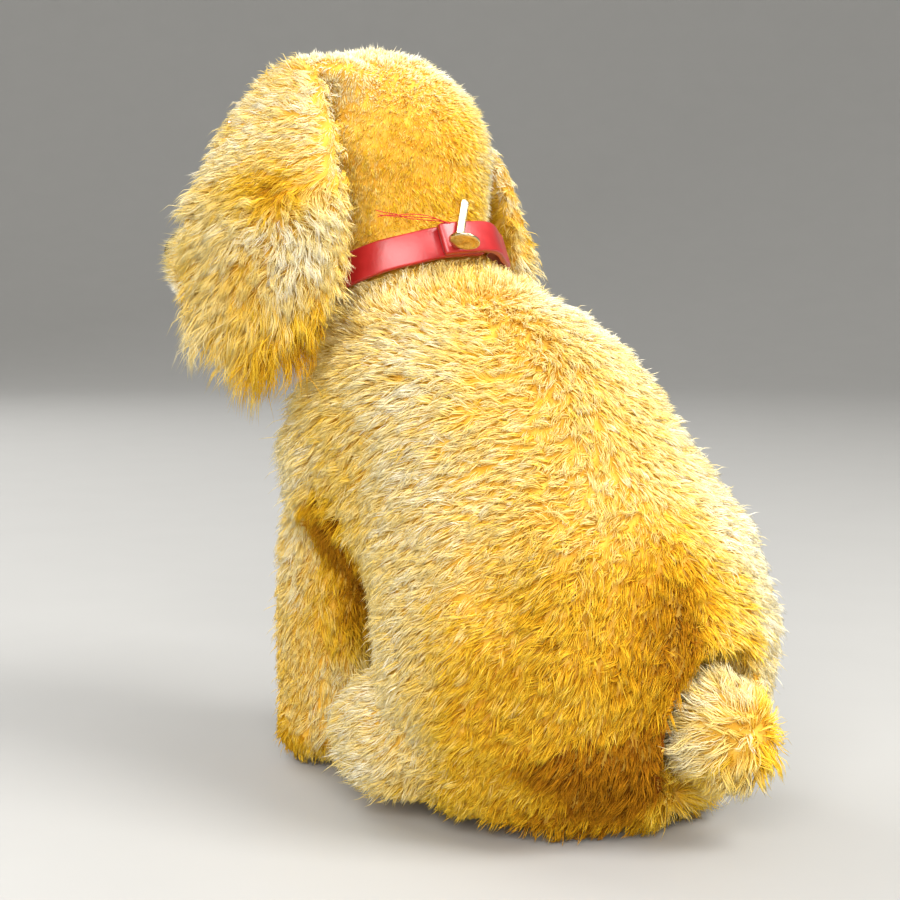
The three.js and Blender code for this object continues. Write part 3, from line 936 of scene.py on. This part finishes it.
torso_skin = skin("torso_backing", torso_nodes, 1.1, 6, 2.0, backing, "torso")
head_forms = []
for centre, half in ((EAR_ROOT, EAR_ROOT_HALF), (EYE_AT + EYE_SOCKET, EYE_SOCKET_HALF)):
    head_forms += [rounded(centre * np.array([way, 1, 1]), half) for way in (1, -1)]
head_skin = skin("head_backing", head_soft, 1.0, 6, 1.3, backing, "head", head_forms)
tail_skin = skin("tail_backing", ["tail_cover", "tail_stuffing"], 0.9, 5, 2.0, backing, "tail")
ears = {}
for side_name in ("left", "right"):
    nodes = [f"{side_name}_ear_pile", f"{side_name}_ear_lining"]
    ears[side_name] = skin(f"{side_name}_ear_backing", nodes, 0.8, 4, 0.4, backing, f"{side_name}_ear")

fur("torso", torso_skin, torso_coat, density=8.6, lock_area=0.8, seed=11, radius=0.08)
fur("head", head_skin, head_coat, density=13.0, lock_area=0.4, seed=23, radius=0.075, count=3)
fur("tail", tail_skin, tail_coat, density=9.0, lock_area=1.1, seed=31, radius=0.09)
for seed, side_name in ((41, "left"), (42, "right")):
    fur(f"{side_name}_ear", ears[side_name], ear_coat, density=11.5, lock_area=1.0, seed=seed, radius=0.07)

# ---------------------------------------------------------------- swept and turned pieces


def smooth_line(points, steps):
    """A Catmull-Rom curve through the points."""
    p = np.asarray(points, float)
    p = np.concatenate([[2 * p[0] - p[1]], p, [2 * p[-1] - p[-2]]])
    out = []
    for a, b, c, d in zip(p, p[1:], p[2:], p[3:]):
        for t in np.linspace(0, 1, steps, endpoint=False):
            bend = (2 * a - 5 * b + 4 * c - d) * t**2 + (3 * b - a - 3 * c + d) * t**3
            out.append(0.5 * (2 * b + (c - a) * t + bend))
    out.append(p[-2])
    return np.array(out)


def tube(line, radius, sides=8):
    """A round thread along a line, drawn in to small ends."""
    heading = unit(np.gradient(line, axis=0))
    side = unit(np.cross(heading[0], [0.3, 0.2, 0.93]))
    rings = []
    last = len(line) - 1
    for k, (point, way) in enumerate(zip(line, heading)):
        side = unit(side - way * (side @ way))
        up = np.cross(way, side)
        size = radius * (0.45 if k in (0, last) else 1)
        turn = turns(sides)[:, None]
        rings.append(point + size * (np.cos(turn) * side + np.sin(turn) * up))
    return swept(rings)


def rounded_corners(half_a, half_b, edge, steps):
    """The outline of a rectangle with rounded corners, each drawn in this many steps."""
    outline = []
    for corner, (a, b) in enumerate(((1, 1), (-1, 1), (-1, -1), (1, -1))):
        for k in range(steps + 1):
            angle = math.pi / 2 * (corner + k / steps)
            across = a * (half_a - edge) + edge * math.cos(angle)
            outline.append((across, b * (half_b - edge) + edge * math.sin(angle)))
    return outline


def piece(name, part, material, body, nodes=()):
    """Vertices in millimetres and faces as an object of the scene that rides on a body."""
    verts, faces = part
    mesh = bpy.data.meshes.new(name)
    mesh.from_pydata((np.asarray(verts) * MM).tolist(), [], faces)
    mesh.validate()
    obj = add_object(name, mesh, material)
    bm = bmesh.new()
    bm.from_mesh(mesh)
    bmesh.ops.recalc_face_normals(bm, faces=bm.faces)
    bm.to_mesh(mesh)
    bm.free()
    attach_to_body(obj, body)
    if nodes:
        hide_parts(*nodes)
    return obj


# ---------------------------------------------------------------- collar

def strap():
    """The strap as one band that laps over itself, its edges rounded and its face a little crowned."""
    steps = 220
    whole = 2 * math.pi + STRAP["lap"]
    start = CLASP_ANGLE + 0.7 * STRAP["lap"]
    half_wide, half_thick = STRAP["width"] / 2, STRAP["thick"] / 2
    profile = rounded_corners(half_thick, half_wide, 0.32, 4)
    rings = []
    for k in range(steps + 1):
        along = whole * k / steps
        lift = STRAP["rise"] * smooth_step(along, whole - 2 * STRAP["lap"], whole - STRAP["lap"])
        angle = start - along
        at_end = k in (0, steps)
        shrink = 0.75 if at_end else 1
        narrow = 0.94 if at_end else 1
        ring = []
        for radial, axial in profile:
            crown = 0.10 * (1 - (axial / half_wide) ** 2) * (radial > 0)
            uneven = 0.05 * math.sin(5 * angle) + 0.04 * math.sin(11 * angle + 1)
            radius = STRAP["inner"] + half_thick + lift + radial * shrink + crown + 0.3 * uneven
            height = axial * narrow + uneven
            ring.append((radius * math.cos(angle), radius * math.sin(angle), height))
        rings.append(from_neck(ring))
    return swept(rings)


def at_clasp(points):
    """(outward, along the strap, up) at the clasp, as it leans, as world points."""
    p = np.asarray(points, float)
    c, s = math.cos(CLASP_SLANT), math.sin(CLASP_SLANT)
    y = p[:, 1] * c + p[:, 2] * s
    z = -p[:, 1] * s + p[:, 2] * c
    c, s = math.cos(CLASP_ANGLE), math.sin(CLASP_ANGLE)
    return from_neck(np.stack([p[:, 0] * c - y * s, p[:, 0] * s + y * c, z], axis=1))


def pin_leg():
    """A flat leg with a rounded tip that stands up outside the strap."""
    half_wide, half_thick = 0.675, 0.225
    shoulder = PIN_TOP - half_wide
    rings = []
    tip = PIN_TOP - half_wide * (1 - np.sin(np.linspace(0.2, 1.45, 8)))
    for z in np.concatenate([np.linspace(BUTTON_FOOT, shoulder, 6), tip]):
        over = max(0.0, (z - shoulder) / half_wide)
        half = half_wide * math.sqrt(max(0.02, 1 - over**2))
        outline = rounded_corners(half_thick, half, min(0.12, half * 0.5), 2)
        rings.append(at_clasp([(CLASP_FACE + half_thick + out, along, z) for out, along in outline]))
    return swept(rings)


def button():
    """A round pressed button: a shallow dome below, and a rim round a hollow above."""
    radius = 2.4
    profile = (
        (0.05, -0.30),
        (1.2, -0.26),
        (2.0, -0.12),
        (radius - 0.05, 0.05),
        (radius + 0.02, 0.20),
        (radius - 0.02, 0.36),
        (radius - 0.25, 0.45),
        (1.6, 0.34),
        (0.05, 0.30),
    )
    turn = turns(40)
    rings = []
    for reach, height in profile:
        out = CLASP_FACE + radius + reach * np.cos(turn)
        up = 0 * turn + BUTTON_FOOT + height
        rings.append(at_clasp(np.stack([out, reach * np.sin(turn), up], axis=1)))
    return swept(rings)


def loose_thread():
    """A frayed end of red sewing thread that stands off the strap over the nape."""
    rng = np.random.default_rng(7)
    parts = []
    for strand in range(3):
        line = []
        for t in np.linspace(0, 1, 9):
            angle = CLASP_ANGLE - math.radians(2 + 34 * t)
            radius = 17.6 + 2.6 * t + 0.5 * math.sin(5 * t + strand)
            height = 2.2 + 3.4 * t + 0.5 * math.sin(4 * t + 1.5 * strand) * t
            line.append((radius * math.cos(angle), radius * math.sin(angle), height))
        line = from_neck(np.array(line) + rng.normal(0, 0.08, (9, 3)))
        parts.append(tube(smooth_line(line, 4), 0.07, 6))
    return join(parts)


# ---------------------------------------------------------------- face

def at_nose(points):
    """Places about the nose's own centre as world points, leaned as the nose leans."""
    x, y, z = np.asarray(points, float).T
    c, s = math.cos(NOSE_LEAN), math.sin(NOSE_LEAN)
    return from_head(np.stack([x, y * c - z * s, y * s + z * c], axis=1) + NOSE_AT)


def nose():
    """Satin stitches laid side by side over a small pad."""
    rings = []
    for way in np.linspace(0.03, math.pi - 0.03, 14):
        x, y, z = ball_ring(way, 24).T
        rings.append(at_nose(np.stack([x, -z, y], axis=1) * (NOSE_HALF - 0.3)))
    parts = [swept(rings)]
    reach = 0.93
    for across in np.linspace(-reach, reach, 15):
        top = reach * math.sqrt(1 - across**2)
        foot = -top * (1 - 0.35 * abs(across))
        line = []
        for z in np.linspace(top, foot, 9):
            forward = math.sqrt(max(0.0, 1 - across**2 - z**2))
            line.append((across * NOSE_HALF[0], -forward * NOSE_HALF[1] - 0.08, z * NOSE_HALF[2]))
        parts.append(tube(at_nose(line), 0.33, 7))
    return join(parts)


def laid_on_muzzle(line):
    """A line in the head's own directions, drawn down to lie in the pile of the muzzle."""
    laid = []
    for point in from_head(line):
        _, place, normal, _ = head_skin.closest_point_on_mesh(Vector(point * MM))
        laid.append(np.array(place) / MM + THREAD_PROUD * np.array(normal))
    return in_head(np.array(laid))


def mouth():
    """Three-strand stitches: one down from the nose, and the lips as one curve."""
    lips = smooth_line(MOUTH_LIP + [(-x, y, z) for x, y, z in reversed(MOUTH_LIP[:2])], 7)
    bpy.context.view_layer.update()
    lips = laid_on_muzzle(lips)
    down = smooth_line([NOSE_FOOT, *laid_on_muzzle([PHILTRUM, MOUTH_LIP[2]])], 6)
    parts = []
    for line in (lips, down):
        heading = unit(np.gradient(line, axis=0))
        side = unit(np.cross(heading, [0.1, 1.0, 0.2]))
        up = np.cross(heading, side)
        for strand in range(3):
            turn = np.linspace(0, 7, len(line)) + 2 * np.pi * strand / 3
            offset = side * np.cos(turn)[:, None] + up * np.sin(turn)[:, None]
            parts.append(tube(from_head(line + 0.27 * offset), 0.27, 7))
    return join(parts)


def eye(side_name, way, material):
    """A turned glass eye with a slight bulge over the pupil."""
    rings = []
    for off in np.linspace(0.02, math.pi - 0.02, 26):
        rings.append(ball_ring(off, 40) * EYE_RADIUS * (1 + 0.035 * bell(off, 0.5)))
    verts, faces = swept(rings)
    mesh = bpy.data.meshes.new(f"{side_name}_glass_eye")
    mesh.from_pydata((verts * MM).tolist(), [], faces)
    obj = add_object(f"{side_name}_glass_eye", mesh, material)
    middle = Vector(from_head(EYE_AT * np.array([way, 1, 1])) * MM)
    gaze = np.array([0.25 * way, -0.95, 0.18]) @ np.stack([HEAD_LEFT, HEAD_BACK, HEAD_UP])
    turn = Vector(gaze).to_track_quat("Z", "Y").to_matrix().to_4x4()
    obj.matrix_world = Matrix.Translation(middle) @ turn
    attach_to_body(obj, "head")
    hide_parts(f"{side_name}_eye")


leather = leather_material()
brass = metal_material("pressed_brass", (0.80, 0.68, 0.42), (0.52, 0.40, 0.22), 0.24)
steel = metal_material("plain_steel", (0.60, 0.60, 0.60), (0.38, 0.37, 0.36), 0.4)
floss = thread_material("brown_floss", (0.012, 0.006, 0.004), (0.045, 0.022, 0.014))
red_thread = thread_material("red_thread", (0.40, 0.004, 0.010), (0.70, 0.02, 0.03))
glass = glass_eye_material()
board = board_material()

piece("collar_leather", strap(), leather, "collar", ["collar_strap"])
piece("collar_pin", join([pin_leg(), button()]), brass, "collar", ["collar_clasp"])
piece("loose_thread", loose_thread(), red_thread, "collar")
piece("nose_threads", nose(), floss, "head", ["nose_stitching"])
piece("mouth_threads", mouth(), floss, "head", ["mouth_stitching"])
eye("left", 1, glass)
eye("right", -1, glass)
for node, material in (
    ("body_disc", board),
    ("head_disc", board),
    ("body_washer", steel),
    ("head_washer", steel),
    ("cotter_pin", steel),
    ("left_eye_shank", steel),
    ("right_eye_shank", steel),
):
    data = frame["nodes"][node].data
    data.materials.clear()
    data.materials.append(material)

# ---------------------------------------------------------------- floor, light and camera

def add_floor():
    mat, tree, bsdf = new_material("pale_floor", roughness=0.6)
    place = object_place(tree)
    grain = noise(tree, 40, vector=place)
    coloured_by(tree, bsdf, grain, (0.3, 0.7), (FLOOR_TONE, tuple(0.98 * c for c in FLOOR_TONE)))
    # a round sheet, flat under the puppy and swept up all round into a wall
    turn = turns(96)
    flat, bend, wall = 1.0, 1.0, 1.2
    profile = [(0.02, 0.0), (0.3, 0.0), (flat, 0.0)]
    for angle in np.linspace(0.06, math.pi / 2, 24):
        profile.append((flat + bend * math.sin(angle), bend * (1 - math.cos(angle))))
    profile.append((flat + bend, bend + wall))
    rings = [np.stack([r * np.cos(turn), r * np.sin(turn), 0 * turn + z], axis=1) for r, z in profile]
    verts, faces = swept(rings)
    mesh = bpy.data.meshes.new("floor")
    mesh.from_pydata(verts.tolist(), [], faces[:-1])
    floor = add_object("floor", mesh, mat)


def aim(obj, target):
    direction = Vector(target) - obj.location
    obj.rotation_euler = direction.to_track_quat("-Z", "Y").to_euler()


def add_light(name, direction, distance, size, power, colour):
    data = bpy.data.lights.new(name, "AREA")
    data.size = size
    data.energy = power
    data.color = colour
    lamp = bpy.data.objects.new(name, data)
    lamp.location = direction * distance + LIGHT_ORIGIN
    aim(lamp, LIGHT_TARGET)
    bpy.context.scene.collection.objects.link(lamp)


def add_camera():
    data = bpy.data.cameras.new("camera")
    data.sensor_width = SENSOR
    data.lens = PIXELS_PER_MM * CAMERA_AWAY / MM / FRAME_PIXELS * SENSOR
    data.clip_start = 0.01
    camera = bpy.data.objects.new("camera", data)
    camera.location = CAMERA_TARGET + CAMERA_AWAY * toward(136, 5.5)
    aim(camera, CAMERA_TARGET)
    bpy.context.scene.collection.objects.link(camera)
    bpy.context.scene.camera = camera


def add_world():
    world = bpy.data.worlds.new("studio")
    world.use_nodes = True
    background = world.node_tree.nodes["Background"]
    background.inputs["Color"].default_value = (*WARM_WHITE, 1)
    background.inputs["Strength"].default_value = 0.8
    bpy.context.scene.world = world


bpy.context.scene.view_settings.view_transform = "Standard"
add_floor()
add_light("key", toward(200, 48), distance=0.7, size=0.35, power=6.0, colour=WARM_WHITE)
add_light("fill", toward(128, 26), distance=0.9, size=0.6, power=10.2, colour=WARM_WHITE)
add_light("front", toward(0, 35), distance=0.9, size=0.6, power=5.0, colour=(1, 1, 1))
add_world()
add_camera()
